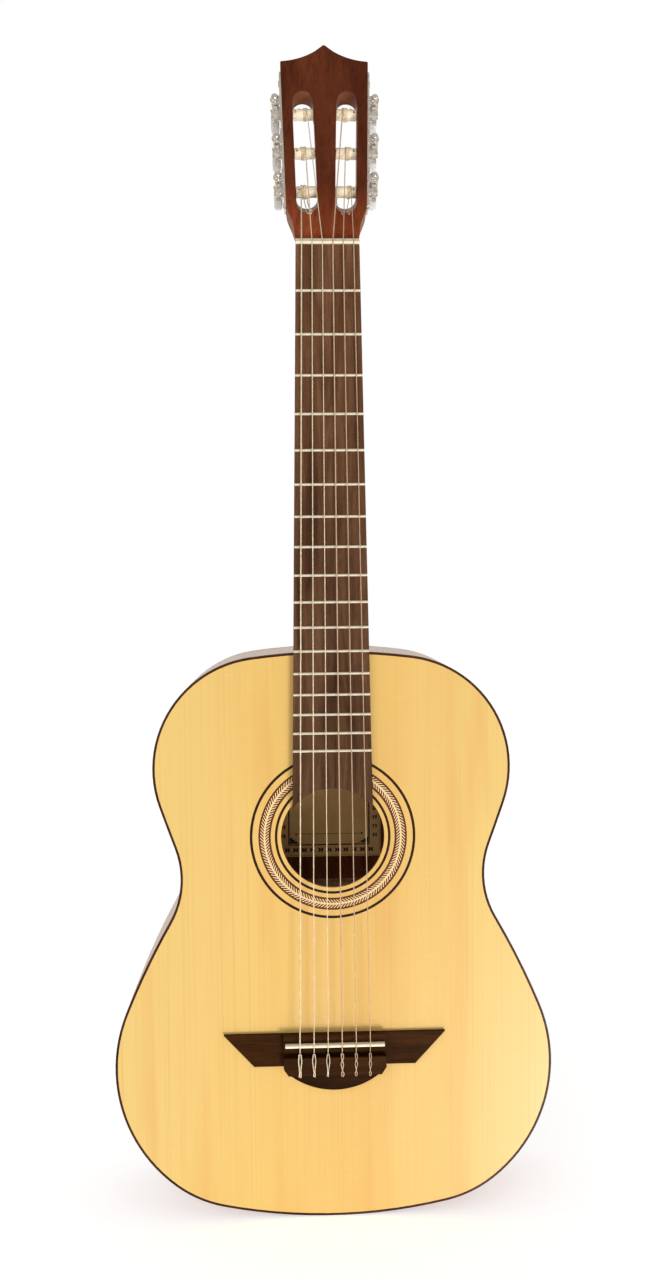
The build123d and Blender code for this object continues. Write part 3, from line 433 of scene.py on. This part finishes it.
NODE_MATERIALS = {
    "soundboard": "spruce",
    "rosette": "rosette",
    "rib_bass": "rib",
    "rib_treble": "rib",
    "back_plate": "back",
    "neck": "neck",
    "headstock": "neck",
    "head_veneer": "head",
    "heel_cap": "board",
    "fingerboard": "board",
    "frets": "fret",
    "nut": "ivory",
    "saddle": "ivory",
    "bridge": "bridge",
    "top_binding": "binding",
    "back_binding": "binding",
    "neck_block": "inner",
    "tail_block": "inner",
    "linings": "inner",
    "soundboard_braces": "inner",
    "back_braces": "inner",
    "tuner_plate_treble": "metal",
    "tuner_plate_bass": "metal",
    "plate_screws": "metal",
}
for number in STRINGS:
    NODE_MATERIALS[f"string_{number}"] = "nylon" if number <= LAST_NYLON else "wound"
    NODE_MATERIALS[f"string_winding_{number}"] = "turns" if number <= LAST_NYLON else "wound_turns"
    NODE_MATERIALS[f"string_roller_{number}"] = "roller"
    NODE_MATERIALS[f"gear_{number}"] = "metal"
    NODE_MATERIALS[f"worm_shaft_{number}"] = "metal"
    NODE_MATERIALS[f"button_{number}"] = "pearl"


def dress(thing, key):
    """Give an object one material in its only slot."""
    thing.data.materials.clear()
    thing.data.materials.append(M[key])


for node, key in NODE_MATERIALS.items():
    dress(NODES[node], key)


# ---------------------------------------------------------------- pieces


def add_piece(name, mesh_or_curve, key, body):
    """An object of one material that rides a body."""
    piece = bpy.data.objects.new(name, mesh_or_curve)
    bpy.context.scene.collection.objects.link(piece)
    piece.data.materials.append(M[key])
    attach(piece, body)
    return piece


def rounded_copy(node, width, body):
    """A copy of a CAD piece with its sharp edges softened, standing for it."""
    mesh = NODES[node].data.copy()
    shape = bmesh.new()
    shape.from_mesh(mesh)
    bmesh.ops.remove_doubles(shape, verts=shape.verts, dist=2e-6)
    bmesh.ops.dissolve_limit(shape, angle_limit=math.radians(0.4), verts=shape.verts, edges=shape.edges)
    shape.to_mesh(mesh)
    shape.free()
    if "custom_normal" in mesh.attributes:
        mesh.attributes.remove(mesh.attributes["custom_normal"])
    mesh.shade_smooth()
    piece = bpy.data.objects.new(f"{node}_rounded", mesh)
    bpy.context.scene.collection.objects.link(piece)
    bevel = piece.modifiers.new("edge", "BEVEL")
    bevel.width = width
    bevel.segments = 3
    bevel.limit_method = "ANGLE"
    bevel.angle_limit = math.radians(40)
    bevel.harden_normals = True
    bevel.use_clamp_overlap = True
    dress(piece, NODE_MATERIALS[node])
    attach(piece, body)
    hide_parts(node)
    return piece


def tube(name, points, radius, key, body, sides=6):
    """A round wire along a list of points."""
    curve = bpy.data.curves.new(name, "CURVE")
    curve.dimensions = "3D"
    curve.bevel_depth = radius
    curve.bevel_resolution = sides // 2
    curve.use_fill_caps = True
    spline = curve.splines.new("POLY")
    spline.points.add(len(points) - 1)
    for place, point in zip(spline.points, points):
        place.co = (*point, 1)
    spline.use_smooth = True
    return add_piece(name, curve, key, body)


def smooth_path(points, steps=8):
    """Catmull-Rom curve through hand-set points."""
    points = [Vector(p) for p in points]
    ends = [points[0] * 2 - points[1]] + points + [points[-1] * 2 - points[-2]]
    path = []
    for a, b, c, d in zip(ends, ends[1:], ends[2:], ends[3:]):
        for step in range(steps):
            t = step / steps
            square = (2 * a - 5 * b + 4 * c - d) * t * t
            cube = (3 * b - a - 3 * c + d) * t**3
            path.append(0.5 * ((2 * b) + (c - a) * t + square + cube))
    path.append(points[-1])
    return path


# ---------------------------------------------------------------- strings


def machine_axes(number):
    """Centre of a roller on the head's side, and the directions out, up the head and forwards."""
    roller = JOINTS[f"roller_{number}_turn"]
    button = JOINTS[f"button_{number}_turn"]
    origin = Vector(roller["pos_m"])
    out = Vector(roller["axis"])
    forward = Vector(button["axis"])
    up = forward.cross(out)
    if up.z < 0:
        up.negate()
    return origin, out, up, forward


def string_side(number):
    return 1 if number <= LAST_NYLON else -1


def string_look(number):
    """A string's material and its slot."""
    return ("nylon", "nylon_string") if number <= LAST_NYLON else ("wound", "wound_string")


def string_offset(number, spacing):
    return string_side(number) * spacing * abs(3.5 - number)


def string_path(number):
    """From behind its roller, over the nut and saddle, down into the bridge's channel."""
    radius = STRING_DIAMETERS[number - 1] / 2
    wrap = BARREL_RADIUS + WRAP_GAP + radius
    origin, out, up, forward = machine_axes(number)
    centre = origin + out * (BARREL_MIDDLE + WRAP_SHIFT[number] * MM)
    nut = Vector((string_offset(number, NUT_SPACING), NUT_POINT_Y, 1.8 * MM))
    towards_nut = nut - centre
    along_up, along_forward = towards_nut.dot(up), towards_nut.dot(forward)
    reach = math.hypot(along_up, along_forward)
    rise = math.atan2(along_forward, -along_up) - math.asin(wrap / reach)
    last = math.pi / 2 - rise
    points = []
    turns = 18
    for step in range(turns + 1):
        angle = -math.pi / 2 - 0.1 + (last + math.pi / 2 + 0.1) * step / turns
        points.append(centre + (up * math.cos(angle) + forward * math.sin(angle)) * wrap)
    x = string_offset(number, SADDLE_SPACING)
    bend = smooth_path(
        [
            points[-1] * 0.04 + nut * 0.96,
            nut,
            nut * 0.996 + Vector((x, SADDLE_POINT_Y, SADDLE_Z)) * 0.004,
        ],
        4,
    )
    points += bend
    points += [
        Vector((x, SADDLE_POINT_Y + 0.02 * MM, SADDLE_Z + 1.2 * MM)),
        Vector((x, SADDLE_POINT_Y, SADDLE_Z - 0.3 * MM)),
        Vector((x, SADDLE_POINT_Y + 0.45 * MM, SADDLE_Z - 1.3 * MM)),
        Vector((x, TIE_HOLE_Y - 0.5 * MM, CHANNEL_BACK + 1.3 * MM)),
        Vector((x, TIE_HOLE_Y, CHANNEL_BACK + 0.2 * MM)),
        Vector((x, TIE_HOLE_Y, TIE_BLOCK_BACK - 0.9 * MM)),
    ]
    return points


def knot_strands(number):
    """The two strands that come up behind the tie block and loop round the string in the channel."""
    radius = STRING_DIAMETERS[number - 1] / 2
    x = string_offset(number, SADDLE_SPACING)
    top = TIE_TOP - radius * 1.1
    rear = TIE_BLOCK_BACK
    front = CHANNEL_BACK
    open_loop = number > LAST_NYLON
    loop = (1.3 if open_loop else 0.75) * MM
    close = radius * 1.05
    lean = random.uniform(-0.5, 0.5) * MM

    def at(side, depth, z):
        return Vector((x + side, depth, z))

    first = [
        at(0, TIE_HOLE_Y, rear - 0.6 * MM),
        at(0.1 * MM, TIE_HOLE_Y - 1.2 * MM, rear - 1.5 * MM),
        at(close + lean, top + 0.6 * MM, rear - 0.9 * MM),
        at(close * 1.4 + lean, top, rear + 1.6 * MM),
        at(close + lean * 0.5, top - radius * 0.5, rear + 4.6 * MM),
        at(loop * 0.75, top, front - 5.6 * MM),
        at(loop, top, front - 2.6 * MM),
        at(loop * 0.8, top + 0.3 * MM, front + 0.4 * MM),
        at(radius * 1.6, TIE_TOP + 0.8 * MM - radius, front + 2.7 * MM),
        at(0, TIE_TOP - 0.2 * MM - radius, front + 3.5 * MM),
    ]
    second = [
        at(0, TIE_TOP - 0.2 * MM - radius, front + 3.5 * MM),
        at(-radius * 1.6, TIE_TOP + 0.8 * MM - radius, front + 2.7 * MM),
        at(-loop * 0.8, top + 0.3 * MM, front + 0.4 * MM),
        at(-loop, top, front - 2.6 * MM),
        at(-loop * 0.75, top, front - 5.6 * MM),
        at(-close + lean * 0.5, top, rear + 4.6 * MM),
        at(-close * 0.6 + lean, top - radius * 0.9, rear + 2.6 * MM),
        at(-close * 1.3 + lean, top, rear + 0.8 * MM),
        at(-close * 1.1 + lean * 1.4, top + 0.9 * MM, rear - 0.7 * MM),
    ]
    if not open_loop:
        first = twisted(first, 4, radius * 0.9)
        second = twisted(second, 1, -radius * 0.9)
    return smooth_path(first + second[1:], 7)


def twisted(points, start, amount):
    """Cross a strand from side to side along its middle, so that a pair of them looks twisted."""
    crossed = []
    for index, point in enumerate(points):
        swing = amount if (index + start) % 2 else -amount
        crossed.append(point + Vector((swing, 0, 0)) if 2 < index < len(points) - 2 else point)
    return crossed


def make_strings():
    for number in STRINGS:
        radius = STRING_DIAMETERS[number - 1] / 2
        key, slot = string_look(number)
        main = tube(f"tied_string_{number}", string_path(number), radius, key, "body", 8)
        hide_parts(f"string_{number}")
        tube(f"bridge_knot_{number}", knot_strands(number), radius * 0.92, key, "body", 6)


def make_string_ends():
    """The cut end of each string, out of the hole in its barrel and lying against the turns."""
    for number in STRINGS:
        radius = STRING_DIAMETERS[number - 1] / 2
        origin, out, up, forward = machine_axes(number)
        middle = origin + out * BARREL_MIDDLE
        key, slot = string_look(number)
        hole = middle + out * 6.2 * MM
        points = [
            hole - forward * 4.0 * MM,
            hole + forward * 5.4 * MM,
            hole + forward * 6.5 * MM - out * 0.8 * MM,
            hole + forward * 6.4 * MM - out * 2.2 * MM + up * 0.8 * MM,
            hole + forward * 6.3 * MM - out * 3.4 * MM + up * 1.9 * MM,
        ]
        path = smooth_path(points, 6)
        tube(f"string_end_{number}", path, radius * 0.85, key, f"roller_{number}", 6)


def head_directions(number):
    """Across to the head's own side, up the head and out of its face."""
    forward = Vector(JOINTS[f"button_{number}_turn"]["axis"])
    across = Vector((string_side(number), 0, 0))
    up = forward.cross(across) * string_side(number)
    return across, up if up.z > 0 else -up, forward


# Loose string ends: places across from the slot's middle, up the head and out of its face, in millimetres.
STRING_TAILS = {
    6: (
        (-1.0, 42.4, -8.5),
        (-1.2, 38.5, -8.2),
        (-2.4, 32.0, -5.2),
        (-3.4, 27.4, -1.6),
        (-4.2, 23.6, 0.6),
        (-2.8, 22.4, 0.6),
        (-2.6, 24.6, 1.0),
        (-4.0, 26.0, 1.2),
        (-4.8, 24.4, 1.0),
    ),
    5: (
        (1.6, 42.4, -8.5),
        (1.2, 38.0, -8.4),
        (0.2, 31.0, -4.8),
        (0.4, 26.6, -1.2),
        (-0.8, 23.2, 0.6),
        (-2.2, 22.6, 0.6),
    ),
    1: (
        (1.9, 42.4, -8.5),
        (1.6, 38.0, -8.4),
        (0.6, 32.0, -5.4),
        (1.0, 27.6, -1.8),
        (2.4, 24.4, 0.6),
        (1.6, 22.2, 0.6),
        (0.5, 23.4, 0.8),
        (1.3, 25.6, 1.1),
        (2.6, 26.8, 1.3),
    ),
    2: (
        (-7.4, 42.4, -8.5),
        (-7.8, 38.5, -8.0),
        (-7.4, 33.0, -5.0),
        (-6.2, 28.2, -1.3),
        (-4.8, 24.6, 0.5),
        (-3.8, 21.8, 0.5),
    ),
}
HEAD_FOOT = Vector((0, 0, 5.0))
SLOT_MIDDLE = 16.4


def make_string_tails():
    """Loose string ends that hang from the lowest rollers and curl up over the slots' lower ends."""
    for number, spots in STRING_TAILS.items():
        across, up, forward = head_directions(number)
        middle = HEAD_FOOT + across * SLOT_MIDDLE
        points = [(middle + across * a + up * u + forward * w) * MM for a, u, w in spots]
        radius = STRING_DIAMETERS[number - 1] / 2
        key, slot = string_look(number)
        tube(f"string_tail_{number}", smooth_path(points, 6), radius * 0.85, key, "body", 6)


def bead_outline():
    """A rounded rectangle just inside a tuner plate's edge, as heights and widths."""
    outline = []
    corners = (
        (BEAD_HIGH, BEAD_HALF_WIDTH, 90),
        (BEAD_HIGH, -BEAD_HALF_WIDTH, 0),
        (BEAD_LOW, -BEAD_HALF_WIDTH, -90),
        (BEAD_LOW, BEAD_HALF_WIDTH, -180),
    )
    for height, width, start in corners:
        centre_height = height - math.copysign(BEAD_ROUNDING, height)
        centre_width = width - math.copysign(BEAD_ROUNDING, width)
        for step in range(7):
            angle = math.radians(start - step * 15)
            over = centre_height + BEAD_ROUNDING * math.cos(angle)
            outline.append((over, centre_width + BEAD_ROUNDING * math.sin(angle)))
    outline.append(outline[0])
    return outline


def scroll_outline(height, lean, flip):
    """One spiral of a tuner plate's ornament, as heights and widths."""
    eye, growth, turns, drift = 0.5, 2.5, 1.35, 1.2
    middle, flatness, steps = 2.9, 0.945, 25
    outline = []
    for step in range(steps + 1):
        part = step / steps
        radius = eye + growth * part
        angle = turns * 2 * math.pi * part
        over = height + lean * (radius * math.cos(angle) + drift * part)
        outline.append((over, flip * (middle + flatness * radius * math.sin(angle))))
    return outline


def make_plate_ornament():
    """Raised beading round each tuner plate, and scrolls between its screws."""
    for side, number in (("treble", 1), ("bass", 6)):
        origin, out, up, forward = machine_axes(number)
        base = origin + out * ORNAMENT_LIFT * MM
        lines = [(f"plate_bead_{side}", bead_outline(), 0.28 * MM)]
        for index, (height, lean) in enumerate(SCROLLS):
            for letter, flip in (("a", -1), ("b", 1)):
                scroll = scroll_outline(height, lean, flip)
                lines.append((f"plate_scroll_{side}_{index}_{letter}", scroll, 0.3 * MM))
        for name, outline, radius in lines:
            points = [base + up * height * MM + forward * width * MM for height, width in outline]
            tube(name, points, radius, "metal", "body", 6)


# ---------------------------------------------------------------- label


def back_inner_depth(x, z):
    """Depth of the back plate's inner surface."""
    neck_z, tail_z = -325.5, -800.2
    neck_depth, tail_depth, plate, arch = 96.0, 101.0, 2.8, 2760.0
    centre = neck_depth + (tail_depth - neck_depth) * (neck_z - z) / (neck_z - tail_z)
    return centre - plate - x * x / (2 * arch)


def patch(shape, x0, x1, z0, z1, lift, columns=1, rows=1):
    """A rectangle laid on the inside of the back, in millimetres."""
    grid = []
    for row in range(rows + 1):
        z = z0 + (z1 - z0) * row / rows
        line = []
        for column in range(columns + 1):
            x = x0 + (x1 - x0) * column / columns
            line.append(shape.verts.new(Vector((x, back_inner_depth(x, z) - lift, z)) * MM))
        grid.append(line)
    for lower, upper in zip(grid, grid[1:]):
        for a, b, c, d in zip(lower, lower[1:], upper[1:], upper):
            shape.faces.new((a, b, c, d))


def make_label():
    """A paper label with a plain patterned border and no lettering."""
    paper_mesh = bpy.data.meshes.new("label")
    shape = bmesh.new()
    patch(shape, -LABEL_HALF_WIDTH, LABEL_HALF_WIDTH, LABEL_LOW, LABEL_HIGH, 0.12, 24, 20)
    shape.to_mesh(paper_mesh)
    shape.free()
    sheet_piece = add_piece("label", paper_mesh, "paper", "body")
    sheet_piece.modifiers.new("paper", "SOLIDIFY").thickness = 0.1 * MM
    print_mesh = bpy.data.meshes.new("label_border")
    shape = bmesh.new()
    draw_frames(shape)
    draw_border(shape)
    draw_rule(shape)
    shape.to_mesh(print_mesh)
    shape.free()
    add_piece("label_border", print_mesh, "ink", "body")


def draw_frames(shape):
    """A bold frame with cornered lower ends inside the border, and a hair line along the label's edge."""
    bold_half, bold_inset, bold_width = 36.5, 11.0, 0.6
    margin, hair = 1.2, 0.15
    line_half = LABEL_HALF_WIDTH - margin
    for side in (-1, 1):
        bold_low, bold_high = LABEL_LOW + bold_inset, LABEL_HIGH - bold_inset
        middle = side * bold_half
        patch(shape, middle - bold_width, middle + bold_width, bold_low, bold_high, INK_LIFT, 1, 16)
        middle = side * line_half
        patch(shape, middle - hair, middle + hair, LABEL_LOW + margin, LABEL_HIGH - margin, INK_LIFT, 1, 16)
        corner(shape, side, bold_low, INK_LIFT)
    for edge, inside in ((LABEL_LOW, 1), (LABEL_HIGH, -1)):
        middle = edge + inside * bold_inset
        patch(shape, -bold_half, bold_half, middle - 0.5, middle + 0.5, INK_LIFT, 20, 1)
        middle = edge + inside * margin
        patch(shape, -line_half, line_half, middle - hair, middle + hair, INK_LIFT, 24, 1)


def draw_border(shape):
    """Crossed dashes along the label's lower and upper borders, and pairs of bars up its sides."""
    for edge, inside in ((LABEL_LOW, 1), (LABEL_HIGH, -1)):
        for index in range(-5, 6):
            x, z = index * 7.6, edge + inside * 6.2
            for lean, step in ((-1, 1.25), (1, -1.25)):
                chevron(shape, x + step, z, lean, INK_LIFT)
    for index in range(-3, 4):
        for side in (-1, 1):
            x, z = side * 41.8, (LABEL_LOW + LABEL_HIGH) / 2 + index * 8.2
            patch(shape, x - 1.9, x - 0.5, z - 1.7, z + 1.7, INK_LIFT, 1, 2)
            patch(shape, x + 0.5, x + 1.9, z - 1.7, z + 1.7, INK_LIFT, 1, 2)


def draw_rule(shape):
    """A thin rule across the label, with a dot at each end."""
    half, height = 30.0, (LABEL_LOW + LABEL_HIGH) / 2 - 23.0
    patch(shape, -half, half, height - 0.18, height + 0.18, INK_LIFT, 16, 1)
    for side in (-1, 1):
        disc(shape, side * half, height, 0.9, INK_LIFT)


def chevron(shape, x, z, lean, lift):
    """One slanted dash of the border."""
    tall = 1.8 * lean
    outline = ((-1.3, tall), (0.6, tall), (1.3, 0), (0.6, -tall), (-1.3, -tall), (-0.5, 0))
    spots = [(x + dx * lean, z + dz) for dx, dz in outline]
    shape.faces.new([shape.verts.new(Vector((a, back_inner_depth(a, b) - lift, b)) * MM) for a, b in spots])


def disc(shape, x, z, radius, lift):
    """A round dot on the label."""
    ring = []
    for step in range(16):
        a = x + radius * math.cos(step * math.pi / 8)
        b = z + radius * math.sin(step * math.pi / 8)
        ring.append(shape.verts.new(Vector((a, back_inner_depth(a, b) - lift, b)) * MM))
    shape.faces.new(ring)


def corner(shape, side, z, lift):
    """A stepped corner ornament inside the border."""
    for step in range(4):
        x0, x1 = 35.6 - step * 2.2, 35.6 - (step + 1) * 2.2
        top = z + 6.6 - step * 1.6
        patch(shape, side * x1, side * x0, z + 1.2, top, lift, 1, 1)


# ---------------------------------------------------------------- build

make_strings()
make_string_ends()
make_string_tails()
make_plate_ornament()
make_label()

ROUNDED = (
    ("headstock", 0.5, "mahogany_neck"),
    ("head_veneer", 0.6, "mahogany_veneer"),
    ("bridge", 0.5, "rosewood"),
    ("fingerboard", 0.35, "rosewood"),
    ("nut", 0.25, "ivory_plastic"),
    ("saddle", 0.2, "ivory_plastic"),
)
for node, width, slot in ROUNDED:
    rounded_copy(node, width * MM, "body")


# ---------------------------------------------------------------- stage, light and camera


def make_floor():
    """A wide round floor at the height of the guitar's lowest point."""
    low = min(corner.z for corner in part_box("rib_bass"))
    mesh = bpy.data.meshes.new("floor")
    shape = bmesh.new()
    rings, sides, radius = 8, 64, 3.0
    centre = shape.verts.new((0, 0, low))
    previous = None
    for ring in range(1, rings + 1):
        r = radius * ring / rings
        verts = []
        for step in range(sides):
            angle = 2 * math.pi * step / sides
            verts.append(shape.verts.new((r * math.cos(angle), r * math.sin(angle), low)))
        for step in range(sides):
            after = (step + 1) % sides
            if previous is None:
                shape.faces.new((centre, verts[step], verts[after]))
            else:
                shape.faces.new((previous[step], verts[step], verts[after], previous[after]))
        previous = verts
    shape.to_mesh(mesh)
    shape.free()
    floor = bpy.data.objects.new("floor", mesh)
    bpy.context.scene.collection.objects.link(floor)
    floor.data.materials.append(studio_floor())
    floor.visible_shadow = False
    floor.visible_glossy = False


def make_light(name, place, target, size, watts):
    """A square soft light that points at a target."""
    data = bpy.data.lights.new(name, "AREA")
    data.energy = watts
    data.size = size
    light = bpy.data.objects.new(name, data)
    bpy.context.scene.collection.objects.link(light)
    light.location = place
    light.rotation_euler = (Vector(target) - Vector(place)).to_track_quat("-Z", "Y").to_euler()


def make_world(seen, ambient, mirrored, backdrop):
    """White as seen and dimmer as ambient light; in reflections dark in front and bright behind."""
    world = bpy.data.worlds.new("studio")
    world.use_nodes = True
    nodes, links = world.node_tree.nodes, world.node_tree.links
    background = nodes["Background"]
    direction = nodes.new("ShaderNodeSeparateXYZ")
    links.new(nodes.new("ShaderNodeTexCoord").outputs["Generated"], direction.inputs["Vector"])
    behind = nodes.new("ShaderNodeMapRange")
    links.new(direction.outputs["Y"], behind.inputs["Value"])
    behind.inputs["From Min"].default_value = 0.5
    behind.inputs["From Max"].default_value = 0.9
    behind.inputs["To Min"].default_value = mirrored
    behind.inputs["To Max"].default_value = backdrop
    rays = nodes.new("ShaderNodeLightPath")
    tint = nodes.new("ShaderNodeMix")
    tint.data_type = "RGBA"
    links.new(rays.outputs["Is Glossy Ray"], tint.inputs["Factor"])
    tint.inputs["A"].default_value = (1, 1, 1, 1)
    tint.inputs["B"].default_value = WARM_WHITE
    links.new(tint.outputs["Result"], background.inputs["Color"])
    strength = ambient
    for kind, level in (("Is Glossy Ray", behind.outputs["Result"]), ("Is Camera Ray", seen)):
        choice = nodes.new("ShaderNodeMix")
        links.new(rays.outputs[kind], choice.inputs["Factor"])
        for socket, value in ((choice.inputs["A"], strength), (choice.inputs["B"], level)):
            if isinstance(value, float):
                socket.default_value = value
            else:
                links.new(value, socket)
        strength = choice.outputs["Result"]
    links.new(strength, background.inputs["Strength"])
    bpy.context.scene.world = world


def make_camera():
    """The camera, in front of the guitar and a little to its bass side."""
    data = bpy.data.cameras.new("camera")
    data.sensor_width = 36.0
    data.lens = CAMERA_LENS
    camera = bpy.data.objects.new("camera", data)
    bpy.context.scene.collection.objects.link(camera)
    camera.location = CAMERA_PLACE
    camera.rotation_euler = [math.radians(angle) for angle in CAMERA_TURN]
    bpy.context.scene.camera = camera


make_floor()
make_world(seen=1.0, ambient=0.55, mirrored=0.40, backdrop=0.95)
make_light("key", (1.3, -2.4, -2.15), (0, 0, -0.5), 0.9, 58)
make_light("fill", (-0.9, -1.6, 0.5), (0, 0, -0.3), 1.2, 5)
make_camera()
bpy.context.scene.view_settings.view_transform = "Standard"
